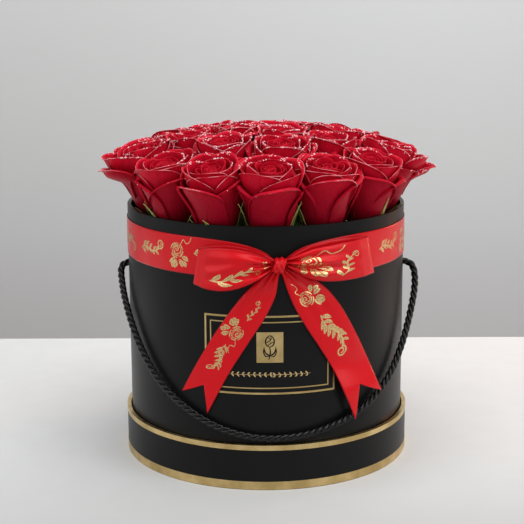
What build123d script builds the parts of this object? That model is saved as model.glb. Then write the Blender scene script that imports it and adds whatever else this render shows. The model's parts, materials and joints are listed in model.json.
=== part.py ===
from build123d import *
import os
from math import cos, pi, radians, sin, tan

# Round hat box of roses. The lid is turned over and serves as a tray under the box.
# Origin: centre of the lid's underside. +Z up, -Y towards the front, +X to the right.

# ---- driving dimensions, in millimetres ----
PAPER = 0.3              # black covering paper
BOARD = 2.0              # grey board of the walls and discs
FOIL = 0.2               # gold foil strips and prints
BOX_RADIUS = 100.0       # outside of the covered box
BOX_RIM = 182.3          # height of the box's rim above the table
LID_RADIUS = 103.7       # outside of the lid's gold strips
LID_DEPTH = 32.0
LID_MOUTH_STRIP = 3.6    # height of the gold strip at the lid's mouth
LID_EDGE_STRIP = 6.0     # height of the gold strip at the lid's closed end
REST_GAP = 0.2           # free space where one body stands in another
TURN_IN = 15.0           # paper folded over the box's rim

# gold prints on the front: left and right edge as angles round the box, then low and high edge
LABEL_OUTER = (-24.4, 27.6, 67.1, 121.9)
LABEL_OUTER_LINE = 1.3
LABEL_INNER = (-22.1, 24.9, 71.1, 117.7)
LABEL_INNER_LINE = 0.8
EMBLEM = (-3.7, 6.6, 89.5, 110.6)
ORNAMENT_ANGLE = 1.4      # middle of the row of leaves and dots
ORNAMENT_STEP = 3.1
ORNAMENT_HEIGHT = 81.0
ORNAMENT_LEAF = (2.2, 1.6)  # half width and half height
ORNAMENT_DOT = (0.8, 0.8)
PRINT_GAP = 0.05

ROPE_DIAMETER = 5.0
ROPE_HOLE_RADIUS = 2.8
ROPE_HOLE_HEIGHT = 137.0
KNOT_RADIUS = 6.2
KNOT_LENGTH = 10.0
KNOT_EDGE = 3.0           # rounding of a rope knot

BAND_LOW, BAND_HIGH = 147.5, 173.5
BAND_INNER, BAND_OUTER = 100.05, 100.95
TAIL_INNER, TAIL_OUTER = 101.2, 102.2
LOOP_INNER, LOOP_OUTER = 102.6, 111.0
BOW_KNOT_X = 9.0
BOW_KNOT_LOW, BOW_KNOT_HIGH = 152.0, 163.6
BOW_KNOT_WIDTH = 11.0
BOW_KNOT_OUTER = 112.0
BOW_KNOT_EDGE = 3.0
TAIL_FOLD_HEIGHT = 144.5  # the right tail hinges here as the rope lifts it
TAIL_FOLD_GAP = 0.8
TAIL_OVER_ROPE = 107.0    # inner radius of the right tail where it lies on the rope

FOAM_RADIUS = 84.5
FOAM_TOP = 160.0
FILM = 0.3
FILM_COLLAR = 3.0         # film standing above the foam
STEM_RADIUS = 2.6
STEM_FOOT = 118.0
STEM_GAP = 1.2            # free space between a stem and its calyx
STEM_HOLE_GAP = 0.05
HEAD_HEIGHT = 52.0
CALYX_LENGTH = 6.0
CALYX_RADIUS = 4.4

FAR = 260.0               # longer than the whole object, for cutting tools

# ---- rope route: angle round the box from the front in degrees, radius, height ----
KNOT_FACE = BOX_RADIUS - PAPER - BOARD - PAPER - 0.5
ROPE_ROUTE = (
    (-90.0, KNOT_FACE, ROPE_HOLE_HEIGHT),
    (-90.0, 102.2, ROPE_HOLE_HEIGHT),
    (-88.6, 106.2, 133.8),
    (-85.4, 105.7, 127.0),
    (-77.5, 104.9, 117.5),
    (-67.5, 104.4, 103.5),
    (-56.5, 104.2, 84.5),
    (-45.0, 104.2, 67.2),
    (-32.0, 104.2, 53.4),
    (-18.0, 104.2, 42.4),
    (-3.0, 104.2, 36.7),
    (12.0, 104.2, 37.4),
    (26.5, 104.0, 42.6),
    (40.0, 104.0, 50.4),
    (54.0, 104.3, 63.3),
    (66.5, 105.0, 83.0),
    (76.5, 107.0, 104.0),
    (83.0, 109.0, 119.5),
    (87.3, 109.0, 129.3),
    (89.3, 107.0, 134.9),
    (90.0, 102.0, ROPE_HOLE_HEIGHT),
    (90.0, KNOT_FACE, ROPE_HOLE_HEIGHT),
)

# ---- roses: per ring the angles, base radius, base height, lean, head width, stem foot radius ----
OUTER_STEP = 25.6
FRONT_ANGLES = (-49.2, -23.6, 2.1, 28.0, 55.0)
SIDE_ANGLES = tuple(80.6 + OUTER_STEP * i for i in range(9))
MIDDLE_ANGLES = tuple(12.0 + 45.0 * i for i in range(8))
CENTRE_ANGLES = (40.0, 160.0, 280.0)
ROSE_RINGS = (
    (FRONT_ANGLES, 77.4, 172.0, 15.0, 0.96, 66.0),
    (SIDE_ANGLES, 77.4, 176.5, 15.0, 0.96, 66.0),
    (MIDDLE_ANGLES, 46.1, 183.0, 8.0, 0.88, 43.0),
    (CENTRE_ANGLES, 15.0, 186.5, 5.0, 0.77, 14.0),
)
# radius and height along the outside of a head of width 1.0
HEAD_PROFILE = (
    (7.0, 0.0),
    (11.0, 3.0),
    (14.0, 7.0),
    (16.0, 12.0),
    (17.3, 19.0),
    (18.5, 26.0),
    (19.6, 34.0),
    (20.2, 42.0),
    (19.4, 48.0),
    (16.0, 51.5),
)


def around(angle, radius, height):
    """A point given by its angle from the front, its radius and its height."""
    return Vector(radius * sin(radians(angle)), -radius * cos(radians(angle)), height)


def tube(inner, outer, low, high):
    """A straight ring between two radii and two heights."""
    ring = Circle(outer) - Circle(inner)
    return Pos(0, 0, low) * extrude(ring, high - low)


def disc(radius, low, high):
    return Pos(0, 0, low) * extrude(Circle(radius), high - low)


def front_panel(outline):
    """A flat outline in x and z, pushed through the front half of the box."""
    face = make_face(outline)
    return extrude(face, FAR / 2, dir=(0, -1, 0))


def cross_rod(radius):
    """A rod along X at the rope holes, wider than the object."""
    return Pos(0, 0, ROPE_HOLE_HEIGHT) * (Rot(0, 90, 0) * Cylinder(radius, FAR))


def front_points(points):
    return [Vector(x, 0, z) for x, z in points]


def curved_outline(runs):
    """A closed outline from runs of (points, is_smooth), each starting where the last ended."""
    edges = []
    for points, smooth in runs:
        corners = front_points(points)
        edges.append(Spline(corners) if smooth else Polyline(corners))
    return edges


def save(shape, node):
    export_step(shape, f"parts/{node}.step")


# ---- lid: a shallow tray of board, covered in paper, with two gold strips ----
def build_lid():
    wrap_out = LID_RADIUS - FOIL
    wall_out = wrap_out - PAPER
    wall_in = wall_out - BOARD
    lining_in = wall_in - PAPER
    board_top = PAPER + BOARD
    rim_paper = LID_DEPTH - FOIL
    rim_board = rim_paper - PAPER
    save(disc(wall_out, 0, PAPER), "lid_base_paper")
    save(disc(wall_in, PAPER, board_top), "lid_board")
    save(tube(wall_in, wall_out, PAPER, rim_board), "lid_wall")
    skin = tube(wall_out, wrap_out, 0, rim_paper)
    cap = tube(lining_in, wall_out, rim_board, rim_paper)
    save(skin + cap, "lid_wrap")
    lining = tube(lining_in, wall_in, board_top, rim_board)
    save(lining + disc(lining_in, board_top, board_top + PAPER), "lid_lining")
    # the upper strip is folded over the lid's mouth, the lower one lies flat
    strip = tube(wrap_out, LID_RADIUS, LID_DEPTH - LID_MOUTH_STRIP, LID_DEPTH)
    folded = tube(lining_in, wrap_out, rim_paper, LID_DEPTH)
    save(strip + folded, "lid_trim_mouth")
    save(tube(wrap_out, LID_RADIUS, PAPER, LID_EDGE_STRIP), "lid_trim_edge")
    return board_top + PAPER


# ---- box: board tube and floor, paper wrap folded over the rim, paper lining ----
def build_box(lid_floor):
    foot = lid_floor + REST_GAP
    wall_out = BOX_RADIUS - PAPER
    wall_in = wall_out - BOARD
    lining_in = wall_in - PAPER
    floor_low = foot + PAPER
    floor_top = floor_low + BOARD
    rim_board = BOX_RIM - PAPER
    hole = cross_rod(ROPE_HOLE_RADIUS)
    save(disc(wall_out, foot, floor_low), "box_base_paper")
    save(disc(wall_in, floor_low, floor_top), "box_floor")
    save(tube(wall_in, wall_out, floor_low, rim_board) - hole, "box_wall")
    skin = tube(wall_out, BOX_RADIUS, foot, BOX_RIM)
    cap = tube(lining_in, wall_out, rim_board, BOX_RIM)
    folded = tube(lining_in, wall_in, BOX_RIM - TURN_IN, rim_board)
    save(skin + cap + folded - hole, "box_wrap")
    lining = tube(lining_in, wall_in, floor_top, BOX_RIM - TURN_IN)
    floor_paper = disc(lining_in, floor_top, floor_top + PAPER)
    save(lining + floor_paper - hole, "box_lining")
    return floor_top + PAPER


# ---- label: gold foil printed on the front of the wrap ----
def foil_rectangle(left, right, low, high):
    """A rectangle of foil between two angles and two heights."""
    reach = BOX_RADIUS + FOIL
    x_left = reach * sin(radians(left))
    x_right = reach * sin(radians(right))
    corners = [(x_left, low), (x_right, low), (x_right, high), (x_left, high), (x_left, low)]
    return front_panel(Polyline(front_points(corners)))


def foil_frame(edges, line):
    """A rectangular frame of foil with lines of that width."""
    left, right, low, high = edges
    turn = line / BOX_RADIUS * 180 / pi
    inside = foil_rectangle(left + turn, right - turn, low + line, high - line)
    return foil_rectangle(*edges) - inside


def foil_diamond(centre_x, half_width, half_height):
    corners = [(centre_x - half_width, ORNAMENT_HEIGHT), (centre_x, ORNAMENT_HEIGHT - half_height),
               (centre_x + half_width, ORNAMENT_HEIGHT), (centre_x, ORNAMENT_HEIGHT + half_height),
               (centre_x - half_width, ORNAMENT_HEIGHT)]
    return front_panel(Polyline(front_points(corners)))


def build_label():
    foil = tube(BOX_RADIUS + PRINT_GAP, BOX_RADIUS + FOIL, LABEL_OUTER[2] - 5, LABEL_OUTER[3] + 5)
    save(foil & foil_frame(LABEL_OUTER, LABEL_OUTER_LINE), "label_frame_outer")
    save(foil & foil_frame(LABEL_INNER, LABEL_INNER_LINE), "label_frame_inner")
    save(foil & foil_rectangle(*EMBLEM), "label_emblem")
    # a row of leaves and dots under the emblem
    marks = []
    for step in range(-5, 6):
        centre_x = BOX_RADIUS * sin(radians(ORNAMENT_ANGLE + ORNAMENT_STEP * step))
        size = ORNAMENT_LEAF if step % 2 == 0 else ORNAMENT_DOT
        marks.append(foil & foil_diamond(centre_x, *size))
    save(Compound(children=marks), "label_ornament")


# ---- ribbon: band round the box, knot, two loops and two swallow-tailed ends ----
# outlines are seen from the front, as x and height
BAND_TOP_EDGE = [
    (-82, 173.6), (-31, 171.8), (-19, 169.4), (-9, 165.6), (3, 160.6), (9, 159.8),
    (14, 160.8), (22, 164.6), (30, 167.2), (40, 169.8), (54, 171.6), (84, 173.6),
]
BAND_LOW_EDGE = [
    (-60, 147.4), (-20, 148.6), (-4, 151.6), (9, 153.6), (20, 151.6), (34, 148.8), (66, 147.4),
]


def beyond_edge(edge, height):
    """The space between a curved ribbon edge and a level line at that height."""
    first, last = edge[0], edge[-1]
    return front_panel(curved_outline([
        (edge, True),
        ([last, (last[0], height), (first[0], height), first], False),
    ]))


def build_band():
    band = tube(BAND_INNER, BAND_OUTER, BAND_LOW, BAND_HIGH)
    band -= beyond_edge(BAND_TOP_EDGE, BAND_HIGH + 15)
    band -= beyond_edge(BAND_LOW_EDGE, BAND_LOW - 15)
    save(band, "ribbon_band")


def build_loops():
    shell = tube(LOOP_INNER, LOOP_OUTER, BAND_LOW - 15, BAND_HIGH + 5)
    left = [
        ([(3.0, 161.5), (-5, 165.2), (-12, 167.4), (-27, 169.4), (-39, 169.2),
          (-44.8, 167.2)], True),
        ([(-44.8, 167.2), (-48.6, 143.0)], False),
        ([(-48.6, 143.0), (-39, 140.4), (-27.5, 140.6), (-16, 143.3), (-5, 147.8),
          (3.0, 153.4)], True),
        ([(3.0, 153.4), (3.0, 161.5)], False),
    ]
    save(shell & front_panel(curved_outline(left)), "bow_loop_left")
    right = [
        ([(15.0, 162.6), (22, 167.0), (31, 170.2), (48, 172.0), (68.0, 172.2)], True),
        ([(68.0, 172.2), (73.0, 146.0)], False),
        ([(73.0, 146.0), (61, 145.4), (46, 145.4), (32, 146.8), (22, 150.4), (15.0, 155.4)], True),
        ([(15.0, 155.4), (15.0, 162.6)], False),
    ]
    save(shell & front_panel(curved_outline(right)), "bow_loop_right")


def build_knot():
    depth = BOW_KNOT_OUTER - TAIL_INNER
    height = BOW_KNOT_HIGH - BOW_KNOT_LOW
    block = fillet(Box(BOW_KNOT_WIDTH, depth, height).edges(), BOW_KNOT_EDGE)
    centre_y = -(TAIL_INNER + depth / 2)
    centre_z = (BOW_KNOT_LOW + BOW_KNOT_HIGH) / 2
    save(Pos(BOW_KNOT_X, centre_y, centre_z) * block, "bow_knot")


def tail_sheet(profile):
    """A thin sheet of turned radius: the profile lists (inner radius, height) downwards."""
    thickness = TAIL_OUTER - TAIL_INNER
    inner = [Vector(r, 0, z) for r, z in profile]
    outer = [Vector(r + thickness, 0, z) for r, z in reversed(profile)]
    face = make_face(Polyline(inner + outer + [inner[0]]))
    return revolve(face, Axis.Z)


def build_tails():
    flat = [(TAIL_INNER, 156.0), (TAIL_INNER, 45.0)]
    left = [
        ([(-1.0, 151.4), (-12.6, 139.5), (-20.3, 129.9), (-32.4, 110.2), (-46.1, 90.3),
          (-57.9, 64.7)], True),
        ([(-57.9, 64.7), (-45.2, 70.0), (-40.3, 51.3)], False),
        ([(-40.3, 51.3), (-25.0, 84.0), (-17.2, 92.7), (-5.5, 111.2), (2.5, 125.3),
          (7.0, 137.7), (7.8, 151.4)], True),
        ([(7.8, 151.4), (-1.0, 151.4)], False),
    ]
    save(tail_sheet(flat) & front_panel(curved_outline(left)), "bow_tail_left")

    right = [
        ([(11.6, 151.4), (13.3, 143.6), (17.5, 130.0), (24.7, 117.6), (33.4, 103.2), (42.1, 89.1),
          (46.8, 80.3), (61.1, 45.0)], True),
        ([(61.1, 45.0), (66.4, 64.9), (80.2, 61.0)], False),
        ([(80.2, 61.0), (74.2, 73.6), (71.6, 82.6), (62.1, 105.2), (54.4, 119.0), (46.8, 132.2),
          (38.0, 143.0), (22.0, 151.4)], True),
        ([(22.0, 151.4), (11.6, 151.4)], False),
    ]
    outline = front_panel(curved_outline(right))
    over_rope = [(TAIL_INNER, 156.0), (TAIL_INNER, 88.0), (TAIL_OVER_ROPE, 63.0),
                 (TAIL_OVER_ROPE + 0.6, 38.0)]
    whole = tail_sheet(over_rope) & outline
    upper = Pos(0, 0, TAIL_FOLD_HEIGHT + TAIL_FOLD_GAP + FAR / 2) * Box(FAR, FAR, FAR)
    lower = Pos(0, 0, TAIL_FOLD_HEIGHT - FAR / 2) * Box(FAR, FAR, FAR)
    save(whole & upper, "bow_tail_right_root")
    save(whole & lower, "bow_tail_right")


# ---- handle: a rope through two punched holes, stopped by a knot inside each ----
def build_handle():
    points = [around(*place) for place in ROPE_ROUTE]
    runs = [(b - a).length for a, b in zip(points, points[1:])]
    corner_radii = []
    for i in range(1, len(points) - 1):
        turn = (points[i] - points[i - 1]).get_angle(points[i + 1] - points[i])
        corner_radii.append(0.45 * min(runs[i - 1], runs[i]) / tan(radians(turn) / 2))
    path = FilletPolyline(points, radius=corner_radii)
    section = Plane(origin=path @ 0, z_dir=path % 0) * Circle(ROPE_DIAMETER / 2)
    rope = sweep(section, path=path)
    save(rope, "rope_handle")
    print("rope runs", [round(run, 1) for run in runs])
    print("rope corner radii", [round(radius, 1) for radius in corner_radii])
    expected = path.length * pi * ROPE_DIAMETER ** 2 / 4
    print("rope length", round(path.length, 1), "volume ratio", round(rope.volume / expected, 4))

    for side, name in ((-1, "left"), (1, "right")):
        knot = fillet(Cylinder(KNOT_RADIUS, KNOT_LENGTH).edges(), KNOT_EDGE)
        centre = side * (KNOT_FACE - KNOT_LENGTH / 2)
        save(Pos(centre, 0, ROPE_HOLE_HEIGHT) * (Rot(0, 90, 0) * knot), f"rope_knot_{name}")


# ---- flowers: foam in film, stems, and one rose head per stem ----
def rose_plane(angle, base_radius, base_height, lean):
    """A plane at the bottom of a rose head whose normal leans outwards."""
    tilt = radians(lean)
    out = around(angle, 1, 0)
    normal = Vector(out.X * sin(tilt), out.Y * sin(tilt), cos(tilt))
    return Plane(origin=around(angle, base_radius, base_height), z_dir=normal)


def head_solid(width):
    """A closed rose head standing on the origin: the profile turned round Z."""
    points = [Vector(r * width, 0, z) for r, z in HEAD_PROFILE]
    axis_low = Vector(0, 0, 0)
    axis_high = Vector(0, 0, HEAD_HEIGHT)
    edges = [Line(axis_low, points[0]), Spline(points), Line(points[-1], axis_high),
             Line(axis_high, axis_low)]
    return revolve(make_face(edges), Axis.Z)


def build_flowers(box_floor_top):
    film_low = box_floor_top + REST_GAP
    foam_low = film_low + FILM
    foam = disc(FOAM_RADIUS, foam_low, FOAM_TOP)
    film = disc(FOAM_RADIUS + FILM, film_low, foam_low)
    film += tube(FOAM_RADIUS, FOAM_RADIUS + FILM, foam_low, FOAM_TOP + FILM_COLLAR)
    save(film, "foam_film")
    stems = []
    calyxes = []
    number = 0
    for angles, base_radius, base_height, lean, width, foot_radius in ROSE_RINGS:
        head = head_solid(width)
        for angle in angles:
            number += 1
            seat = rose_plane(angle, base_radius, base_height, lean)
            save(seat * head, f"rose_head_{number:02d}")
            calyx = Pos(0, 0, -CALYX_LENGTH / 2) * Cone(STEM_RADIUS, CALYX_RADIUS, CALYX_LENGTH)
            calyxes.append(seat * calyx)
            top = seat.origin - seat.z_dir * (CALYX_LENGTH + STEM_GAP)
            foot = around(angle, foot_radius, STEM_FOOT)
            down = top - foot
            stem_plane = Plane(origin=foot, z_dir=down)
            stems.append(stem_plane * extrude(Circle(STEM_RADIUS), down.length))
            hole = stem_plane * extrude(Circle(STEM_RADIUS + STEM_HOLE_GAP), down.length)
            foam -= hole
    save(foam, "foam_block")
    save(Compound(children=stems), "rose_stems")
    save(Compound(children=calyxes), "rose_calyxes")


lid_floor = build_lid()
box_floor_top = build_box(lid_floor)
build_label()
build_band()
build_loops()
build_knot()
build_tails()
build_handle()
build_flowers(box_floor_top)
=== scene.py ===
import json
import math
import random
import bpy
import numpy as np
from mathutils import Matrix, Vector


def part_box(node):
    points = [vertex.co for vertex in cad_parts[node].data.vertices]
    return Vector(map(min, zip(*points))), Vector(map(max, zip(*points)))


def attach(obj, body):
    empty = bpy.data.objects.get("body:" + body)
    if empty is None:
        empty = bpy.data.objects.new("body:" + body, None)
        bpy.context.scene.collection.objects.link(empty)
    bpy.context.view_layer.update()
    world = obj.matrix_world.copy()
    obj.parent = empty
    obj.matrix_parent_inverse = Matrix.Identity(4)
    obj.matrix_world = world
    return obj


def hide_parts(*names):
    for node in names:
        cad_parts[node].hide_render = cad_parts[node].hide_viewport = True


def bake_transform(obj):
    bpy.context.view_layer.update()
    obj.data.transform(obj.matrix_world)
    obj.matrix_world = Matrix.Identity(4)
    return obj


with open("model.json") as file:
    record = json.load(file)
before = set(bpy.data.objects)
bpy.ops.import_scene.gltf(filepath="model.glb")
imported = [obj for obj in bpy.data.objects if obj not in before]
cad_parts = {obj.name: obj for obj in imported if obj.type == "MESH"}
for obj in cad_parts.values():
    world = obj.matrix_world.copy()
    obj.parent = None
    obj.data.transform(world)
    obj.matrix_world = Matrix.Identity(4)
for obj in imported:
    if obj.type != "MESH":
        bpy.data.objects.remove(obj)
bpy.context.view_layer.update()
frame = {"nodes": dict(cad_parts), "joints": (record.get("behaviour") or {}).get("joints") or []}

MM = 0.001
nodes = frame["nodes"]
joints = {joint["name"]: joint for joint in frame["joints"]}


# ---- places read from the frame, in millimetres ----
def corners(node):
    low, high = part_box(node)
    return low / MM, high / MM


BOX_RADIUS = corners("box_wrap")[1].x
BAND_LOW, BAND_HIGH = (corner.z for corner in corners("ribbon_band"))
HOLE_HEIGHT = joints["handle_swing"]["pos_m"][2] / MM
KNOT_LOW, KNOT_HIGH = corners("bow_knot")
KNOT_X = (KNOT_LOW.x + KNOT_HIGH.x) / 2

# ---- dimensions repeated from the design, in millimetres ----
ROPE_PITCH = 15.5
STRAND_RADIUS = 1.27
KNOT_FACE = 96.9
RIBBON_WIDTH = 26.0
RIBBON_THICKNESS = 0.25
PETAL_THICKNESS = 0.35
LEAF_THICKNESS = 0.4
PRINT_RISE = 0.16
HEAD_HEIGHT = 52.0
# radius and height along the outside of a head of width 1.0
HEAD_PROFILE = ((7.0, 0.0), (11.0, 3.0), (14.0, 7.0), (16.0, 12.0), (17.3, 19.0), (18.5, 26.0),
                (19.6, 34.0), (20.2, 42.0), (20.4, 52.0))
OUTER_STEP = 25.6
FRONT_ANGLES = (-49.2, -23.6, 2.1, 28.0, 55.0)
SIDE_ANGLES = tuple(80.6 + OUTER_STEP * i for i in range(9))
MIDDLE_ANGLES = tuple(12.0 + 45.0 * i for i in range(8))
CENTRE_ANGLES = (40.0, 160.0, 280.0)
ROSE_RINGS = (
    # angles, base radius, base height, lean, head width, stem foot radius
    (FRONT_ANGLES, 77.4, 172.0, 15.0, 0.96, 66.0),
    (SIDE_ANGLES, 77.4, 176.5, 15.0, 0.96, 66.0),
    (MIDDLE_ANGLES, 46.1, 183.0, 8.0, 0.88, 43.0),
    (CENTRE_ANGLES, 15.0, 186.5, 5.0, 0.77, 14.0),
)
# one row for each rose
ROSES = [(angle, *ring[1:]) for ring in ROSE_RINGS for angle in ring[0]]
STEM_FOOT = 118.0

# the rope's route: angle round the box from the front in degrees, radius, height
ROPE_ROUTE = (
    (-90.0, KNOT_FACE, HOLE_HEIGHT), (-90.0, 102.2, HOLE_HEIGHT), (-88.6, 106.2, 133.8),
    (-85.4, 105.7, 127.0), (-77.5, 104.9, 117.5), (-67.5, 104.4, 103.5),
    (-56.5, 104.2, 84.5), (-45.0, 104.2, 67.2), (-32.0, 104.2, 53.4),
    (-18.0, 104.2, 42.4), (-3.0, 104.2, 36.7), (12.0, 104.2, 37.4),
    (26.5, 104.0, 42.6), (40.0, 104.0, 50.4), (54.0, 104.3, 63.3),
    (66.5, 105.0, 83.0), (76.5, 107.0, 104.0), (83.0, 109.0, 119.5),
    (87.3, 109.0, 129.3), (89.3, 107.0, 134.9), (90.0, 102.0, HOLE_HEIGHT),
    (90.0, KNOT_FACE, HOLE_HEIGHT),
)


# ---- small geometry helpers, in millimetres ----
def around(angle, radius, height):
    """A point from its angle round the box, measured from the front, its radius and height."""
    turn = math.radians(angle)
    return np.array([radius * math.sin(turn), -radius * math.cos(turn), height])


def wrap(x, radius, z):
    """A point seen at x from the front, on a cylinder of that radius."""
    return np.array([x, -math.sqrt(max(radius * radius - x * x, 0.0)), z])


def smooth(value, low, high):
    """0 below low, 1 above high and an even rise between, for numbers and arrays."""
    t = np.clip((value - low) / (high - low), 0.0, 1.0)
    return t * t * (3 - 2 * t)


def unit(vectors):
    """The same directions, one unit long."""
    return vectors / np.maximum(np.linalg.norm(vectors, axis=-1, keepdims=True), 1e-9)


def distances(line):
    """How far each point of a line is from its start, along it."""
    return np.concatenate([[0], np.cumsum(np.linalg.norm(np.diff(line, axis=0), axis=1))])


def curve_through(points):
    """A smooth curve through given points: a function from 0..1 to a point."""
    pts = np.array(points, float)
    marks = distances(pts)
    marks = marks / marks[-1]
    slopes = np.gradient(pts, marks, axis=0)

    def at(t):
        t = min(max(t, 0.0), 1.0)
        i = min(int(np.searchsorted(marks, t, side="right")) - 1, len(pts) - 2)
        h = marks[i + 1] - marks[i]
        k = (t - marks[i]) / h
        return ((2 * k**3 - 3 * k**2 + 1) * pts[i] + (k**3 - 2 * k**2 + k) * h * slopes[i]
                + (3 * k**2 - 2 * k**3) * pts[i + 1] + (k**3 - k**2) * h * slopes[i + 1])

    return at


def grid_of(function, rows, columns):
    """The function's values for each row and column."""
    return np.array([[function(row, column) for column in columns] for row in rows])


def grid_normals(grid, closed=False):
    """Unit normals of a grid of points, rows by columns."""
    if closed:
        along = np.roll(grid, -1, axis=0) - np.roll(grid, 1, axis=0)
    else:
        along = np.gradient(grid, axis=0)
    return unit(np.cross(along, np.gradient(grid, axis=1)))


def numbered(grid):
    """The corner numbers of a grid of points."""
    return np.arange(grid.shape[0] * grid.shape[1]).reshape(grid.shape[:2])


def quads(index):
    """The quads between the neighbours of a grid of corner numbers."""
    four = (index[:-1, :-1], index[:-1, 1:], index[1:, 1:], index[1:, :-1])
    return np.stack(four, axis=-1).reshape(-1, 4).tolist()


def new_object(name, data):
    made = bpy.data.objects.new(name, data)
    bpy.context.scene.collection.objects.link(made)
    return made


class MeshParts:
    """Collects points, faces, uv pairs and material numbers of one mesh."""

    def __init__(self):
        self.points = []
        self.faces = []
        self.uvs = []
        self.slots = []

    def add(self, points, faces, uvs=None, slot=0):
        first = len(self.points)
        self.points.extend([tuple(p) for p in points])
        self.uvs.extend([tuple(uv) for uv in uvs] if uvs is not None else [(0.0, 0.0)] * len(points))
        self.faces.extend([tuple(first + i for i in face) for face in faces])
        self.slots.extend([slot] * len(faces))

    def sheet(self, grid, uv, thickness, closed=False):
        """A closed thin sheet from a grid of points: front, back and the edges between."""
        offset = grid_normals(grid, closed) * thickness / 2
        index = numbered(grid)
        count = index.size
        if closed:
            index = np.vstack([index, index[:1]])
        faces = [(a, d, e, b) for a, b, e, d in quads(index)] + quads(index + count)
        edges = [index[:, 0], index[::-1, -1]]
        if not closed:
            edges += [index[0, ::-1], index[-1]]
        for edge in edges:
            faces += quads(np.array([edge, edge + count]).T)
        points = np.concatenate([(grid + offset).reshape(-1, 3), (grid - offset).reshape(-1, 3)])
        self.add(points, faces, np.concatenate([uv.reshape(-1, 2)] * 2))

    def strip(self, points):
        """An open strip of quads from a grid of points, rows by columns."""
        self.add(points.reshape(-1, 3), quads(numbered(points)))

    def tube(self, rings, uv, caps=True):
        """A closed tube from rings of points."""
        index = numbered(rings)
        faces = quads(np.hstack([index, index[:, :1]]))
        if caps:
            faces += [index[0, ::-1].tolist(), index[-1].tolist()]
        self.add(rings.reshape(-1, 3), faces, uv.reshape(-1, 2))

    def build(self, name, materials):
        mesh = bpy.data.meshes.new(name)
        mesh.from_pydata([(x * MM, y * MM, z * MM) for x, y, z in self.points], [], self.faces)
        layer = mesh.uv_layers.new(name="flat")
        index = np.zeros(len(mesh.loops), np.int32)
        mesh.loops.foreach_get("vertex_index", index)
        layer.data.foreach_set("uv", np.array(self.uvs, np.float32)[index].reshape(-1))
        for material in materials:
            mesh.materials.append(material)
        mesh.polygons.foreach_set("material_index", np.array(self.slots, np.int32))
        mesh.polygons.foreach_set("use_smooth", np.ones(len(mesh.polygons), bool))
        mesh.update()
        return new_object(name, mesh)


def finish_piece(piece, body, slot, *replaced):
    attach(piece, body)
    if replaced:
        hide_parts(*replaced)
    return piece


# ---- materials ----
class Shader:
    """A material's nodes. An input's value may be a constant or another node's output."""

    def __init__(self, name):
        self.material = bpy.data.materials.new(name)
        self.material.use_nodes = True
        self.tree = self.material.node_tree
        self.surface = self.tree.nodes["Principled BSDF"]

    def put(self, socket, value):
        if isinstance(value, bpy.types.NodeSocket):
            self.tree.links.new(value, socket)
        elif socket.type == "RGBA":
            socket.default_value = (*value, 1)
        else:
            socket.default_value = value

    def node(self, kind, inputs, output=0, **settings):
        made = self.tree.nodes.new(kind)
        for key, value in settings.items():
            setattr(made, key, value)
        for key, value in inputs.items():
            self.put(made.inputs[key], value)
        return made.outputs[output]

    def set(self, **values):
        for key, value in values.items():
            self.put(self.surface.inputs[key.replace("_", " ")], value)

    def place(self, scale=None):
        """The piece's own coordinates, stretched by a scale if one is given."""
        place = self.node("ShaderNodeTexCoord", {}, "Object")
        return self.node("ShaderNodeMapping", {"Vector": place, "Scale": scale}) if scale else place

    def split(self, vector):
        made = self.tree.nodes.new("ShaderNodeSeparateXYZ")
        self.put(made.inputs[0], vector)
        return made.outputs

    def uv(self):
        return self.split(self.node("ShaderNodeUVMap", {}, "UV", uv_map="flat"))

    def noise(self, vector, scale, detail, roughness=0.5):
        return self.node("ShaderNodeTexNoise", {"Vector": vector, "Scale": scale, "Detail": detail,
                                                "Roughness": roughness}, "Fac")

    def ramp(self, source, stops):
        made = self.tree.nodes.new("ShaderNodeValToRGB")
        elements = made.color_ramp.elements
        while len(elements) < len(stops):
            elements.new(0.5)
        for element, (position, colour) in zip(elements, stops):
            element.position = position
            element.color = (*colour, 1)
        self.put(made.inputs["Fac"], source)
        return made.outputs["Color"]

    def math(self, operation, *values):
        return self.node("ShaderNodeMath", dict(enumerate(values)), operation=operation)

    def range(self, source, from_low, from_high, to_low=0.0, to_high=1.0):
        return self.node("ShaderNodeMapRange", {"Value": source, "From Min": from_low,
                                                "From Max": from_high, "To Min": to_low,
                                                "To Max": to_high}, interpolation_type="SMOOTHSTEP")

    def mix(self, factor, a, b):
        return self.node("ShaderNodeMix", {0: factor, 6: a, 7: b}, 2, data_type="RGBA")

    def colour(self, source):
        self.set(Base_Color=source)

    def roughness(self, source, low, high):
        """Roughness that follows a noise, from low to high."""
        self.set(Roughness=self.range(source, 0.3, 0.7, low, high))

    def bump(self, height, distance, strength, under=None):
        """Fine relief, over another relief if one is given."""
        inputs = {"Height": height, "Distance": distance, "Strength": strength}
        if under:
            inputs["Normal"] = under
        normal = self.node("ShaderNodeBump", inputs, "Normal")
        self.set(Normal=normal)
        return normal


def paper_material(name, dark, light, rough):
    """Matte paper: fibres as fine bump, and a faint cloudy change of tone."""
    s = Shader(name)
    place = s.place()
    fibres = s.noise(place, 2600, 4)
    clouds = s.noise(place, 22, 2)
    s.colour(s.ramp(clouds, ((0.3, dark), (0.7, light))))
    s.roughness(fibres, rough - 0.05, rough + 0.05)
    s.set(Specular_IOR_Level=0.16)
    s.bump(fibres, 0.00006, 0.5)
    return s.material


def gold_material():
    """Pale gold foil, brushed round the box, with soft worn spots."""
    s = Shader("gold_foil")
    brushed = s.noise(s.place((60, 60, 2400)), 3, 4, 0.65)
    patches = s.noise(s.place(), 60, 3)
    s.colour(s.mix(s.range(patches, 0.35, 0.7), (0.52, 0.37, 0.15), (0.74, 0.55, 0.26)))
    s.roughness(brushed, 0.24, 0.46)
    s.set(Metallic=1.0)
    s.bump(brushed, 0.00008, 0.6)
    return s.material


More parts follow.
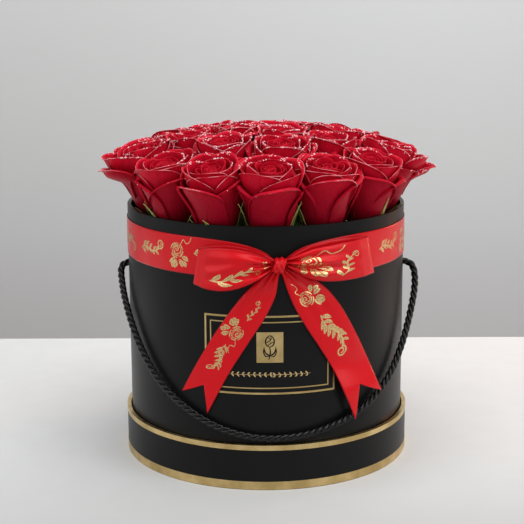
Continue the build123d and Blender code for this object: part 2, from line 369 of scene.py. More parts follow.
def grained_material(name, stretch, scale, detail, stops, rough, bump, **constants):
    """A finish with one noise for its tone, its roughness and its fine bump."""
    s = Shader(name)
    grain = s.noise(s.place(stretch), scale, detail)
    s.colour(s.ramp(grain, stops))
    s.roughness(grain, *rough)
    s.set(**constants)
    if bump:
        s.bump(grain, *bump)
    return s.material


def ribbon_material():
    """Red satin: fine threads across and along, a soft gloss and a darker woven edge."""
    s = Shader("red_satin")
    parts = s.uv()
    along = parts["X"]
    across = parts["Y"]
    threads = s.math("SINE", s.math("MULTIPLY", across, 2 * math.pi / 0.35))
    picks = s.math("SINE", s.math("MULTIPLY", along, 2 * math.pi / 0.5))
    weave = s.math("MULTIPLY_ADD", picks, 0.35, threads)
    edge = s.range(s.math("ABSOLUTE", across), RIBBON_WIDTH / 2 - 0.8, RIBBON_WIDTH / 2 - 0.4)
    s.colour(s.mix(edge, (0.66, 0.0036, 0.0095), (0.44, 0.0024, 0.007)))
    s.set(Coat_Weight=0.10, Coat_Roughness=0.14, Roughness=0.24, Sheen_Weight=0.02,
          Sheen_Roughness=0.30, Sheen_Tint=(1.0, 0.35, 0.35), Specular_IOR_Level=0.42,
          Specular_Tint=(1.0, 0.36, 0.36), Anisotropic=0.5)
    slack = s.bump(s.noise(s.place((1, 1, 0.7)), 42, 1), 0.0032, 0.5)
    s.bump(weave, 0.00002, 0.5, slack)
    return s.material


def rope_material():
    """Glossy black cord."""
    s = Shader("black_cord")
    parts = s.uv()
    slant = s.math("MULTIPLY_ADD", parts["Y"], 2.4, s.math("MULTIPLY", parts["X"], 56.5))
    yarns = s.math("SINE", slant)
    fuzz = s.noise(s.place(), 1500, 2)
    s.colour(s.ramp(fuzz, ((0.3, (0.0010, 0.0010, 0.0011)), (0.75, (0.0030, 0.0030, 0.0032)))))
    s.roughness(fuzz, 0.20, 0.28)
    s.set(Specular_IOR_Level=0.32)
    s.bump(yarns, 0.00004, 0.4)
    return s.material


def petal_material():
    """Velvety petals: painted shade, dark at the foot deep in the head and brighter at the lip, with a
    thin frosted edge.

    The first coordinate is the frost on the lip and the second the height up the head, which sets the
    painted shade.
    """
    s = Shader("rose_petal")
    parts = s.uv()
    frost, height = parts["X"], parts["Y"]
    place = s.place()
    veins = s.noise(s.place((500, 500, 90)), 1, 3)
    # painted shade: the petal colour darkens from the lip down to the foot, deep inside the head
    body = s.ramp(height, ((0.0, (0.06, 0.0005, 0.004)), (0.35, (0.29, 0.0018, 0.013)),
                           (0.75, (0.46, 0.003, 0.019)), (1.0, (0.64, 0.006, 0.026))))
    body = s.mix(s.range(veins, 0.4, 0.8, 0.0, 0.35), body, (0.17, 0.001, 0.007))
    grains = s.noise(place, 900, 2)
    patches = s.noise(place, 110, 2)
    lip = s.math("MULTIPLY_ADD", grains, 0.9, frost)
    lip = s.range(lip, 1.0, 1.35)
    lip = s.math("MULTIPLY", lip, s.range(patches, 0.38, 0.62, 0.10, 0.90))
    s.colour(s.mix(lip, body, (0.88, 0.33, 0.38)))
    s.set(Roughness=s.range(lip, 0.0, 1.0, 0.48, 0.30), Sheen_Weight=0.04, Sheen_Roughness=0.35,
          Sheen_Tint=(1.0, 0.2, 0.28), Specular_IOR_Level=0.20, Specular_Tint=(1.0, 0.30, 0.36),
          Subsurface_Weight=0.06, Subsurface_Scale=0.002, Subsurface_Radius=(1.0, 0.12, 0.08))
    s.bump(veins, 0.00012, 0.4)
    return s.material


def leaf_material():
    """Waxy green with a pale rim and fine veins."""
    s = Shader("green_sepal")
    parts = s.uv()
    veins = s.noise(s.place((500, 500, 90)), 1, 3)
    body = s.ramp(veins, ((0.3, (0.07, 0.15, 0.010)), (0.7, (0.19, 0.31, 0.03))))
    edge = s.range(s.math("ABSOLUTE", parts["X"]), 0.6, 0.95)
    s.colour(s.mix(edge, body, (0.52, 0.50, 0.16)))
    s.roughness(veins, 0.38, 0.55)
    s.bump(veins, 0.0002, 0.5)
    return s.material


def foam_material():
    s = Shader("floral_foam")
    cells = s.node("ShaderNodeTexVoronoi", {"Scale": 900, "Vector": s.place()}, "Distance")
    spots = s.noise(s.place(), 60, 3)
    s.colour(s.ramp(spots, ((0.3, (0.03, 0.11, 0.04)), (0.7, (0.07, 0.20, 0.08)))))
    s.roughness(spots, 0.8, 0.95)
    s.bump(cells, 0.0006, 0.8)
    return s.material


black_paper = paper_material("black_paper", (0.0040, 0.0040, 0.0042), (0.0056, 0.0056, 0.0058), 0.36)
lining_paper = paper_material("lining_paper", (0.006, 0.006, 0.006), (0.009, 0.009, 0.009), 0.60)
gold = gold_material()
# foil printed on cloth or paper: slightly grainy, less even than a strip
gold_print = grained_material("gold_print", None, 1500, 3,
                              ((0.35, (0.62, 0.42, 0.17)), (0.65, (0.86, 0.66, 0.34))),
                              (0.22, 0.42), (0.00005, 0.5), Metallic=0.92)
satin = ribbon_material()
cord_black = rope_material()
petal_red = petal_material()
frost_bead = grained_material("frost_bead", None, 2000, 2,
                              ((0.3, (0.95, 0.42, 0.47)), (0.7, (1.0, 0.74, 0.77))),
                              (0.08, 0.20), None, Specular_IOR_Level=0.8, Coat_Weight=0.6)
sepal_green = leaf_material()
foam_green = foam_material()
clear_film = grained_material("clear_film", (1, 1, 0.3), 160, 4,
                              ((0.3, (0.62, 0.68, 0.62)), (0.7, (0.80, 0.84, 0.80))),
                              (0.08, 0.22), (0.0008, 0.6), Alpha=0.28, Specular_IOR_Level=0.7)
grey_board = grained_material("grey_board", None, 700, 5,
                              ((0.3, (0.22, 0.20, 0.17)), (0.7, (0.38, 0.35, 0.31))),
                              (0.80, 0.92), (0.0002, 0.5))

CAD_FINISH = (
    (black_paper, ("lid_base_paper", "lid_wrap", "box_base_paper", "box_wrap")),
    (lining_paper, ("lid_lining", "box_lining")),
    (grey_board, ("lid_board", "lid_wall", "box_floor", "box_wall")),
    (gold, ("lid_trim_mouth", "lid_trim_edge", "label_frame_outer", "label_frame_inner",
            "label_emblem")),
    (foam_green, ("foam_block",)),
    (clear_film, ("foam_film",)),
)
for material, names in CAD_FINISH:
    for name in names:
        nodes[name].data.materials.clear()
        nodes[name].data.materials.append(material)


# ---- camera, cords first ----
def add_camera():
    pitch = math.radians(12.63)
    roll = math.radians(-0.25)
    yaw = math.radians(0.163)
    right = Vector((math.cos(yaw), math.sin(yaw), 0))
    ahead = Vector((-math.sin(yaw), math.cos(yaw), 0))
    forward = ahead * math.cos(pitch) - Vector((0, 0, math.sin(pitch)))
    up = right.cross(forward)
    across = right * math.cos(roll) + up * math.sin(roll)
    above = up * math.cos(roll) - right * math.sin(roll)
    turn = Matrix((across, above, -forward)).transposed().to_4x4()
    camera = new_object("camera", bpy.data.cameras.new("camera"))
    camera.data.lens = 94.5
    camera.data.sensor_width = 36.0
    camera.matrix_world = Matrix.Translation((0.0, -0.985, 0.357)) @ turn
    bpy.context.scene.camera = camera


def smooth_line(points):
    """Points along a smooth spline whose control points are the route's points."""
    curve = bpy.data.curves.new("route", "CURVE")
    curve.dimensions = "3D"
    spline = curve.splines.new("NURBS")
    spline.points.add(len(points) - 1)
    for target, point in zip(spline.points, points):
        target.co = (*(point * MM), 1.0)
    spline.order_u = 3
    spline.use_endpoint_u = True
    spline.resolution_u = 24
    holder = new_object("route", curve)
    bpy.context.view_layer.update()
    mesh = bpy.data.meshes.new_from_object(holder)
    line = np.array([v.co for v in mesh.vertices]) / MM
    bpy.data.objects.remove(holder)
    bpy.data.curves.remove(curve)
    bpy.data.meshes.remove(mesh)
    return line


def carried_frames(line):
    """Side and up directions carried along a line without twist."""
    tangents = unit(np.gradient(line, axis=0))
    side = np.cross(tangents[0], (0, 0, 1))
    sides = []
    for tangent in tangents:
        side = unit(side - tangent * np.dot(side, tangent))
        sides.append(side)
    return np.array(sides), np.cross(tangents, sides)


def strand_rings(line, radius, count, lobes=0, twist=0.0):
    """Rings of points round a line, with shallow grooves that wind round it."""
    sides, ups = carried_frames(line)
    lengths = distances(line)
    turns = np.linspace(0, 2 * math.pi, count, endpoint=False)
    grooves = 1 + (0.05 * np.cos(lobes * (turns[None] - twist * lengths[:, None])) if lobes else 0)
    ring = (np.cos(turns)[None, :, None] * sides[:, None]
            + np.sin(turns)[None, :, None] * ups[:, None])
    rings = line[:, None] + ring * (radius * (grooves * np.ones((len(line), count))))[..., None]
    uv = np.stack([np.broadcast_to(turns / (2 * math.pi), (len(line), count)),
                   np.broadcast_to(lengths[:, None], (len(line), count))], axis=2)
    return rings, uv


def build_rope():
    line = smooth_line([around(*place) for place in ROPE_ROUTE])
    keep = np.concatenate([[True], np.linalg.norm(np.diff(line, axis=0), axis=1) > 1e-4])
    line = line[keep]
    sides, ups = carried_frames(line)
    lengths = distances(line)
    parts = MeshParts()
    for strand in range(3):
        phase = 2 * math.pi * (strand / 3 - lengths / ROPE_PITCH)
        offset = sides * np.cos(phase)[:, None] + ups * np.sin(phase)[:, None]
        parts.tube(*strand_rings(line + offset * STRAND_RADIUS, STRAND_RADIUS, 14, lobes=7, twist=0.25))
    rope = parts.build("twisted_rope", [cord_black])
    finish_piece(rope, "handle", "black_rope", "rope_handle")
    knots = [build_rope_knot(side) for side in ("left", "right")]


def build_rope_knot(side):
    """An overhand stopper knot inside the wall, as a trefoil of the same cord."""
    low, high = corners(f"rope_knot_{side}")
    centre = np.array((low + high) / 2)
    t = np.linspace(0, 2 * math.pi, 97)
    half_depth, half_width, cord_radius = 2.3, 1.28, 2.1
    loop = np.stack([-np.sin(3 * t) * half_depth, (np.sin(t) + 2 * np.sin(2 * t)) * half_width,
                     (np.cos(t) - 2 * np.cos(2 * t)) * half_width], axis=1)
    parts = MeshParts()
    parts.tube(*strand_rings(centre + loop, cord_radius, 18, lobes=3, twist=0.4), caps=False)
    knot = parts.build(f"stopper_knot_{side}", [cord_black])
    return finish_piece(knot, "handle", "black_rope", f"rope_knot_{side}")


add_camera()
build_rope()


# ---- roses ----
def head_radius(height):
    """Outside radius of a head of width 1.0 at that height."""
    radii, heights = zip(*HEAD_PROFILE)
    return np.interp(height, heights, radii)


class Petal:
    """One petal, in the head's own millimetres: a wide rounded blade that wraps the axis.

    u runs across the petal from -1 to 1 and v from its foot to its lip, 0 to 1.
    """

    BEND_FROM = 0.80
    V = np.array([0, 0.12, 0.24, 0.36, 0.48, 0.58, 0.67, 0.74, 0.80, 0.83, 0.86, 0.89, 0.92, 0.95,
                  0.975, 1.0])
    U = np.sin(np.linspace(-math.pi / 2, math.pi / 2, 21))

    def __init__(self, rng, layer, direction, width, hand, droop):
        self.width = width
        self.direction = math.radians(direction + rng.uniform(-9, 9))
        self.size = layer["size"] * rng.uniform(0.975, 1.025)
        self.top = layer["top"] * HEAD_HEIGHT * rng.uniform(1 - layer["vary"], 1 + 0.02)
        self.half = math.radians(layer["half"] * rng.uniform(0.92, 1.08))
        self.curl = math.radians(layer["curl"] * rng.uniform(0.65, 1.3))
        self.roll = layer["roll"] * rng.uniform(0.8, 1.25)
        self.flare = layer["flare"] * rng.uniform(0.5, 1.4)
        self.close = layer["close"]
        self.shoulder = layer["shoulder"] * rng.uniform(0.92, 1.06)
        self.spiral = layer["spiral"] * hand
        self.frost = layer["frost"]
        self.peak = rng.uniform(-0.38, 0.38)
        self.wave = rng.uniform(0.3, 0.8) * layer["size"]
        self.phase = rng.uniform(0, 6.28)
        outwards = max(math.cos(self.direction), 0.0) ** 1.5
        self.droop = droop * outwards * rng.uniform(0.5, 1.1) if layer["size"] > 0.85 else 0.0
        self.wave += 0.07 * self.droop
        self.half *= 1 - 0.3 * min(self.droop / 8, 1)

    def points(self, u, v):
        skew = np.clip(u - self.peak * (1 - u * u), -1, 1)
        crown = (1 - np.abs(skew) ** 2.3) ** (1 / 2.3)
        top = self.top * (self.shoulder + (1 - self.shoulder) * crown)
        climb = np.minimum(v / self.BEND_FROM, 1.0)
        curl = self.curl * (0.85 + 0.3 * u * u)
        roll = self.roll * (1 - 0.25 * u * u)
        shaft = top - roll * np.sin(np.minimum(curl, math.pi / 2))
        z = shaft * climb
        high = smooth(z / HEAD_HEIGHT, 0.40, 0.92)
        late = smooth(climb, 0.45, 1.0)
        radius = head_radius(z) * self.width * self.size
        radius = radius * (1 - self.close * late)
        radius += self.flare * high * smooth(climb, 0.55, 1.0)
        radius += self.spiral * u * smooth(climb, 0.05, 0.5)
        radius += 1.5 * self.wave * np.sin(3.4 * u + self.phase) * late * high
        radius += 0.35 * self.size * np.sin(7.0 * u + 2 * self.phase) * smooth(v, 0.7, 1.0)
        turn = curl * np.clip((v - self.BEND_FROM) / (1 - self.BEND_FROM), 0, 1)
        radius += roll * (1 - np.cos(turn)) * (0.35 + 0.65 * high)
        z = z + roll * np.sin(turn)
        z += 0.6 * self.size * np.sin(4.6 * u + self.phase) * smooth(v, 0.75, 1.0)
        hang = self.droop * smooth(climb, 0.5, 1.0) ** 1.4 * (1 - np.abs(skew)) ** 0.8
        radius += hang
        z -= 0.35 * hang
        spread = self.half * (0.55 + 0.45 * smooth(climb, 0.0, 0.5))
        angle = self.direction + spread * u
        radius = np.maximum(radius, 0.4)
        return np.stack([radius * np.cos(angle), radius * np.sin(angle), z], axis=-1)

    def grids(self):
        u, v = np.meshgrid(self.U, self.V)
        grid = self.points(u, v)
        # the height up the head, which the petal material turns into painted shade
        height = grid[..., 2] / HEAD_HEIGHT
        frost = self.frost * smooth(v, 0.945, 1.0) * smooth(height, 0.68, 0.88)
        return grid, np.stack([frost, height], axis=-1)


# size: share of the head's radius; top: share of its height; half: half width in degrees;
# close: how far the upper part draws in; shoulder: height of the side corners
LAYER_PARTS = ("count", "size", "top", "vary", "half", "curl", "roll", "flare", "close", "shoulder",
               "spiral", "frost")
ROSE_LAYERS = [dict(zip(LAYER_PARTS, row)) for row in (
    (2, 0.13, 0.925, 0.01, 130, 10, 0.6, 0.0, 0.30, 0.96, 0.7, 0.0),
    (3, 0.26, 0.93, 0.01, 105, 14, 0.8, 0.0, 0.28, 0.93, 0.9, 0.0),
    (3, 0.41, 0.94, 0.02, 96, 20, 1.0, 0.0, 0.22, 0.90, 1.0, 0.0),
    (4, 0.58, 0.955, 0.02, 84, 30, 1.2, 0.1, 0.15, 0.86, 1.1, 0.5),
    (4, 0.75, 0.975, 0.03, 78, 50, 1.4, 0.6, 0.06, 0.80, 1.2, 0.9),
    (5, 0.90, 0.99, 0.05, 70, 85, 1.7, 1.8, 0.0, 0.66, 1.1, 1.0),
    (5, 1.00, 0.93, 0.20, 60, 140, 2.5, 3.0, 0.0, 0.46, 0.9, 0.9),
)]
# only the layers frosted at least this much carry beads
BEADS_FROM = 0.85


def bead(parts, centre, radius, rng):
    """A small uneven drop."""
    rings, sectors = 4, 7
    points = [centre + np.array([0, 0, -radius])]
    for r in range(1, rings):
        polar = math.pi * r / rings
        for k in range(sectors):
            turn = 2 * math.pi * k / sectors
            points.append(centre + radius * np.array([math.sin(polar) * math.cos(turn),
                                                      math.sin(polar) * math.sin(turn),
                                                      -math.cos(polar)]) * rng.uniform(0.93, 1.05))
    points.append(centre + np.array([0, 0, radius]))
    index = np.arange(1, len(points) - 1).reshape(rings - 1, sectors)
    index = np.hstack([index, index[:, :1]])
    faces = quads(index)
    foot, top = index[0].tolist(), index[-1].tolist()
    faces += [(0, b, a) for a, b in zip(foot, foot[1:])]
    faces += [(a, b, len(points) - 1) for a, b in zip(top, top[1:])]
    parts.add(points, faces, slot=1)


def seat_matrix(angle, base_radius, base_height, lean):
    """Turns a head's own axes into the row's: z up the head, x outwards."""
    out = around(angle, 1, 0)
    tilt = math.radians(lean)
    z_axis = out * math.sin(tilt) + np.array([0, 0, math.cos(tilt)])
    y_axis = unit(np.cross(z_axis, out))
    x_axis = np.cross(y_axis, z_axis)
    return np.stack([x_axis, y_axis, z_axis], axis=1), around(angle, base_radius, base_height)


def build_rose(number, angle, base_radius, base_height, lean, width):
    rng = random.Random(400 + number)
    turn, origin = seat_matrix(angle, base_radius, base_height, lean + rng.uniform(-1.5, 1.5))
    sideways = abs(math.sin(math.radians(angle)))
    droop = 13.0 * smooth(sideways, 0.80, 0.97) if base_radius > 60 else 0.0
    in_front = base_radius > 60 and math.cos(math.radians(angle)) > 0.5
    parts = MeshParts()
    direction = rng.uniform(0, 360)
    hand = rng.choice((-1, 1))
    beads = []
    for layer in ROSE_LAYERS:
        for i in range(layer["count"]):
            petal = Petal(rng, layer, direction + 360 * i / layer["count"], width, hand, droop)
            grid, uv = petal.grids()
            parts.sheet(grid @ turn.T + origin, uv, PETAL_THICKNESS)
            if layer["frost"] < BEADS_FROM:
                continue
            u, v = rng.uniform(-0.7, 0.7), rng.choice((0.95, 0.97, 1.0))
            beads.append((petal.points(np.array(u), np.array(v)), rng.uniform(0.18, 0.38)))
            for _ in range(3 if in_front else 4):
                clump = rng.uniform(-0.8, 0.8)
                group = [petal.points(np.array(clump + rng.uniform(-0.13, 0.13)),
                                      np.array(rng.uniform(0.84, 1.0))) for _ in range(7)]
                if not in_front or group[0][0] < 0:
                    beads += [(place, rng.choice((0.2, 0.26, 0.34, 0.46, 0.6))) for place in group]
        direction += 180 / layer["count"] + rng.uniform(-12, 12)
    for place, radius in beads:
        if place[2] > 0.66 * HEAD_HEIGHT or rng.random() < 0.15:
            bead(parts, turn @ place + origin, radius, rng)
    rose = parts.build(f"rose_{number:02d}", [petal_red, frost_bead])
    finish_piece(rose, "flowers", "rose_petal", f"rose_head_{number:02d}")


def leaf_blade(parts, path, widths, normal_hint):
    """A pointed blade along a path of points, cupped a little, as a closed thin sheet."""
    tangents = np.gradient(path, axis=0)
    sides = unit(np.cross(tangents, normal_hint))
    ups = unit(np.cross(sides, tangents))
    across = np.linspace(-1, 1, 5)
    grid = np.array([[p + s * w * u - n * w * 0.35 * (1 - abs(u)) for u in across]
                     for p, s, n, w in zip(path, sides, ups, widths)])
    uv = np.array([[(u, i / (len(path) - 1)) for u in across] for i in range(len(path))])
    parts.sheet(grid, uv, LEAF_THICKNESS)


def build_calyxes():
    """Under each head a green cup with five sepals that lie up along the petals."""
    parts = MeshParts()
    cup = ((2.4, -6.5), (3.2, -5.5), (4.8, -3.6), (6.0, -2.0), (6.8, -0.6), (6.9, 0.6), (4.0, 1.2))
    turns = np.linspace(0, 2 * math.pi, 16, endpoint=False)
    rings = np.array([[(r * math.cos(a), r * math.sin(a), z) for a in turns] for r, z in cup])
    uv = np.array([[(0.0, z / 8) for _ in turns] for _, z in cup])
    steps = np.linspace(0, 1, 12)
    for number, (angle, base_radius, base_height, lean, width, _) in enumerate(ROSES, 1):
        rng = random.Random(900 + number)
        turn, origin = seat_matrix(angle, base_radius, base_height, lean)
        parts.tube(rings @ turn.T + origin, uv)
        start = rng.uniform(-14, 14)
        for k in range(5):
            way = math.radians(start + 72 * k + rng.uniform(-10, 10))
            out = np.array([math.cos(way), math.sin(way), 0])
            side = np.array([-math.sin(way), math.cos(way), 0])
            length = rng.choice((9, 11, 15, 21, 29)) + rng.uniform(-1.5, 1.5)
            flick = rng.uniform(0.3, 5.0)
            sway = rng.uniform(-9, 9)
            path = []
            for t in steps:
                z = -0.8 + length * t
                radius = head_radius(max(z, 0)) * width + 0.9 + flick * t**3
                path.append(out * radius + side * sway * t * t + np.array([0, 0, z]))
            widths = [3.1 * (1 - t) ** 1.15 * (0.75 + 0.9 * t) + 0.1 for t in steps]
            leaf_blade(parts, np.array(path) @ turn.T + origin, widths, turn @ out)
    finish_piece(parts.build("rose_sepals", [sepal_green]), "flowers", "green_sepal", "rose_calyxes")


def build_stems():
    """Cut stems, slightly crooked, swelling at their nodes, pushed into the foam."""
    parts = MeshParts()
    steps = np.linspace(0, 1, 13)
    for number, (angle, base_radius, base_height, lean, _, foot_radius) in enumerate(ROSES, 1):
        rng = random.Random(1300 + number)
        turn, origin = seat_matrix(angle, base_radius, base_height, lean)
        top = origin - turn[:, 2] * 6.3
        foot = around(angle, foot_radius, STEM_FOOT)
        line = np.array([foot + (top - foot) * t for t in steps])
        line += np.array([[math.sin(5 * t + number) * 0.12, math.cos(4 * t + number) * 0.12, 0]
                          for t in steps])
        rings, uv = strand_rings(line, 2.3, 12)
        swell = 1 + 0.07 * np.cos(steps * 9 + rng.uniform(0, 6))
        rings = line[:, None] + (rings - line[:, None]) * swell[:, None, None]
        parts.tube(rings, uv * np.array([0, 0.1]))
    finish_piece(parts.build("cut_stems", [sepal_green]), "flowers", "green_stem", "rose_stems")


for number, rose in enumerate(ROSES, 1):
    build_rose(number, *rose[:5])
build_calyxes()
build_stems()


# ---- ribbon surfaces: each is a function from (distance along, -1..1 across) to a point ----
class RibbonSurface:
    """A stretch of ribbon: flat length, and a function from 0..1 along and -1..1 across."""

    def __init__(self, length, place, rows, closed=False, outwards=1):
        self.length = length
        self.place = place
        self.rows = rows
        self.closed = closed
        self.outwards = outwards

    def build(self, name):
        alongs = np.linspace(0, 1, self.rows, endpoint=not self.closed)
        across = np.linspace(-1, 1, 25)
        grid = grid_of(self.place, alongs, across)
        uv = grid_of(lambda a, t: (a * self.length, t * RIBBON_WIDTH / 2), alongs, across)
        parts = MeshParts()
        parts.sheet(grid, uv, RIBBON_THICKNESS, self.closed)
        return parts.build(name, [satin])

    def lifted(self, along, across):
        """The point at that many millimetres along and across, just off the face."""
        a = along / self.length
        t = across / (RIBBON_WIDTH / 2)
        da = self.place(a + 0.002, t) - self.place(a - 0.002, t)
        dt = self.place(a, t + 0.02) - self.place(a, t - 0.02)
        return self.place(a, t) + unit(np.cross(da, dt)) * PRINT_RISE * self.outwards


KNOT_ANGLE = math.degrees(math.asin(KNOT_X / BOX_RADIUS))
BAND_RADIUS = BOX_RADIUS + 0.45
# how far the band's edges draw in, by the distance from the knot
TOP_DROP = curve_through([(0, 13.5), (4, 12.6), (8, 9.4), (13, 6.6), (20, 4.2), (28, 2.4), (40, 0.9),
                          (56, 0.0)])
LOW_RISE = curve_through([(0, 6.0), (6, 5.2), (14, 3.2), (24, 1.4), (36, 0.4), (56, 0.0)])


def edge_shift(curve, distance, reach=56.0):
    """The height that an edge has moved at a distance from the knot."""
    if distance >= reach:
        return 0.0
    low, high = 0.0, 1.0
    for _ in range(24):
        middle = (low + high) / 2
        if curve(middle)[0] < distance:
            low = middle
        else:
            high = middle
    return float(curve((low + high) / 2)[1])


def band_place(a, t):
    angle = KNOT_ANGLE + 360 * a
    distance = min(a % 1, 1 - a % 1) * 2 * math.pi * BOX_RADIUS
    high = BAND_HIGH - edge_shift(TOP_DROP, distance)
    low = BAND_LOW + edge_shift(LOW_RISE, distance)
    gather = math.exp(-distance / 13)
    pleat = 0.9 * gather * (0.5 + 0.5 * math.cos(3.2 * math.pi * t + 0.6))
    slack = 0.12 * math.sin(distance / 23) * (1 - abs(t))
    z = low + (high - low) * (t + 1) / 2
    return around(angle, BAND_RADIUS + pleat + abs(slack), z)


# each loop's root and reach in x, its slant, the rise behind, and its top and bottom edges
LOOPS = {
    "left": (3.6, -50.0, -0.038, 0.6,
             [(3.6, 161.0), (-5, 164.8), (-12, 167.2), (-27, 169.2), (-39, 169.0), (-50, 167.0)],
             [(3.6, 154.0), (-5, 147.9), (-16, 143.2), (-27.5, 140.6), (-39, 140.6), (-50, 142.8)]),
    "right": (14.4, 56.5, -0.045, 1.6,
              [(14.4, 162.0), (22, 165.6), (31, 168.6), (48, 170.6), (72, 171.6)],
              [(14.4, 155.6), (22, 150.6), (32, 147.0), (46, 145.4), (61, 145.4), (72, 145.9)]),
}
# each tail's flat length, the depth of its cut, and its left and right edges
TAILS = {
    "left": (118.0, 0.135,
             [(5.2, 155.0), (-2.5, 149.0), (-12.6, 139.5), (-21.4, 128.5), (-31.0, 114.5),
              (-42.0, 96.0), (-50.2, 80.5), (-57.9, 64.7)],
             [(10.0, 155.0), (8.2, 147.0), (6.6, 137.0), (1.0, 124.0), (-10.5, 105.5),
              (-24.5, 82.5), (-40.3, 51.3)]),
    "right": (121.0, 0.15,
              [(8.6, 155.0), (11.0, 149.0), (14.2, 139.5), (18.4, 129.0), (26.0, 115.0),
               (36.0, 98.5), (46.5, 80.0), (54.5, 62.5), (61.1, 45.0)],
              [(13.6, 155.0), (22.5, 151.5), (31.5, 146.8), (40.0, 139.8), (48.0, 129.8),
               (56.5, 115.0), (64.0, 99.0), (72.0, 80.0), (80.2, 61.0)]),
}


def loop_surface(side):
    """A flattened bow loop: out from the knot along the front, round the fold and back behind."""
    root, reach, slant, back_rise, *edges = LOOPS[side]
    top, bottom = map(curve_through, edges)
    # in plan: share of the reach, radius round the box, out along the front and back behind
    plan = curve_through([(0.0, 105.0), (0.10, 107.6), (0.28, 110.0), (0.50, 110.8), (0.74, 110.0),
                          (0.93, 107.8), (1.0, 105.6), (0.94, 103.9), (0.75, 103.2), (0.50, 103.0),
                          (0.28, 103.1), (0.10, 103.6), (0.0, 104.2)])
    shift = 1 if side == "left" else -1

    def place(a, t):
        out, radius = plan(a)
        share = min(max(out, 0.0), 1.0)
        front = 1 - smooth(a, 0.47, 0.53)
        middle = math.sin(math.pi * share)
        x = root + reach * share * (1 + slant * t)
        high = top(share)[1] + back_rise * (1 - front) * middle
        low = bottom(share)[1]
        z = low + (high - low) * (t + 1) / 2
        gather = math.exp(-((share * abs(reach) / 24) ** 1.3))
        crown = 1.3 * (1 - t * t) * math.sin(math.pi * min(share * 1.1, 1)) * front
        pleats = 2.1 * gather * math.cos(2.9 * math.pi * t + 1.1 * shift) * (0.4 + 0.6 * front)
        crease = 1.7 * math.exp(-((t - 0.55 + 0.8 * share) / 0.2) ** 2) * middle * front
        dip = 1.5 * math.exp(-((t + 0.35 - 0.5 * share) / 0.25) ** 2) * middle * front
        return wrap(x, radius + crown + pleats + crease - dip, z)

    return RibbonSurface(2 * abs(reach) * 1.06, place, 121, outwards=-shift)


def tail_surface(side):
    """A hanging end between two edge curves, with a swallow-tail cut."""
    length, notch, *edges = TAILS[side]
    left, right = map(curve_through, edges)

    def place(a, t):
        reach = a * (1 - notch * (1 - abs(t)) * smooth(a, 0.55, 1.0))
        lx, lz = left(reach)
        rx, rz = right(reach)
        share = (t + 1) / 2
        x = lx + (rx - lx) * share
        z = lz + (rz - lz) * share
        gather = math.exp(-a * length / 24)
        pleats = 2.2 * gather * (0.5 + 0.5 * math.cos(3.0 * math.pi * t + 0.4))
        wave = 0.9 * (1 - math.cos(2.2 * math.pi * a)) * smooth(a, 0.1, 0.4)
        if side == "left":
            radius = 101.65 + pleats + wave * (0.4 - 0.3 * t)
        else:
            # this tail lies over the rope
            radius = 101.75 + pleats + wave * (0.6 + 0.4 * t) + 5.6 * smooth(88 - z, 0, 25)
        return wrap(x, radius, z)

    return RibbonSurface(length, place, 97)


def knot_piece():
    """The ribbon's turn over the middle of the bow, drawn tight into slanting folds."""
    centre = np.array([KNOT_X, (KNOT_LOW.y + KNOT_HIGH.y) / 2, (KNOT_LOW.z + KNOT_HIGH.z) / 2])
    half_width, half_depth, half_height = 3.9, 5.0, 4.9
    across = np.linspace(-1, 1, 41)
    turns = np.linspace(0, 2 * math.pi, 60, endpoint=False)

    def place(turn, t):
        slope = t + 0.70 * math.sin(turn) + 0.08 * math.sin(2 * turn + 1)
        fold = 0.10 * math.cos(2.2 * math.pi * slope + 0.9) + 0.03 * math.cos(5.3 * math.pi * slope)
        barrel = 0.70 + 0.30 * math.sqrt(max(1 - abs(t) ** 2.6, 0.0))
        size = barrel * (1 + fold)
        y = -math.cos(turn) * half_depth * size
        z = math.sin(turn) * half_height * size
        x = t * half_width * (1 - 0.12 * math.cos(turn)) + 0.9 * math.sin(turn)
        return centre + np.array([x, y, z])

    uv = grid_of(lambda turn, t: (turn * half_height, t * (RIBBON_WIDTH / 2 - 1.5)), turns, across)
    parts = MeshParts()
    parts.sheet(grid_of(place, turns, across), uv, 2 * RIBBON_THICKNESS, closed=True)
    return parts.build("ribbon_knot", [satin])


# ---- printed sprigs: flat strokes of foil laid on a surface ----
def stroke_points(points, count):
    line = curve_through(points)
    return [line(t) for t in np.linspace(0, 1, count)]


def lay_stroke(parts, lift, points, width, taper):
    """A stroke of foil along flat points, laid on a surface, narrower at both ends."""
    points = np.array(points, float)
    tangents = unit(np.gradient(points, axis=0))
    normals = np.stack([-tangents[:, 1], tangents[:, 0]], axis=1)
    rows = []
    for i, (point, normal) in enumerate(zip(points, normals)):
        swell = taper + (1 - taper) * math.sin(math.pi * i / (len(points) - 1))
        half = width / 2 * swell
        rows.append([lift(*(point + normal * half * k)) for k in (-1, 0, 1)])
    parts.strip(np.array(rows))


def leaf_stroke(parts, lift, foot, direction, length, width, split=0.0):
    """A filled leaf, in two halves either side of a bare midrib if split."""
    turn = math.radians(direction)
    along = np.array([math.cos(turn), math.sin(turn)])
    side = np.array([-along[1], along[0]])
    spans = ((-1, 0, 1),) if not split else ((-1, -0.5, -split), (split, 0.5, 1))
    for span in spans:
        rows = []
        for t in np.linspace(0, 1, 9):
            middle = np.array(foot) + along * length * t + side * 0.10 * length * math.sin(math.pi * t)
            half = width / 2 * math.sin(math.pi * min(t * 0.96 + 0.04, 1.0)) ** 0.8
            rows.append([lift(*(middle + side * half * k)) for k in span])
        parts.strip(np.array(rows))


def arc_points(radius, start, end, squash):
    return [(radius * math.cos(a), radius * math.sin(a) * squash)
            for a in np.radians(np.linspace(start, end, 11))]


def placer(centre, heading, scale):
    """Maps points of a figure's own to flat millimetres on its ribbon."""
    turn = math.radians(heading)
    axes = np.array([[math.cos(turn), -math.sin(turn)], [math.sin(turn), math.cos(turn)]])
    return lambda points: [np.array(centre) + axes @ (np.array(p) * scale) for p in points]


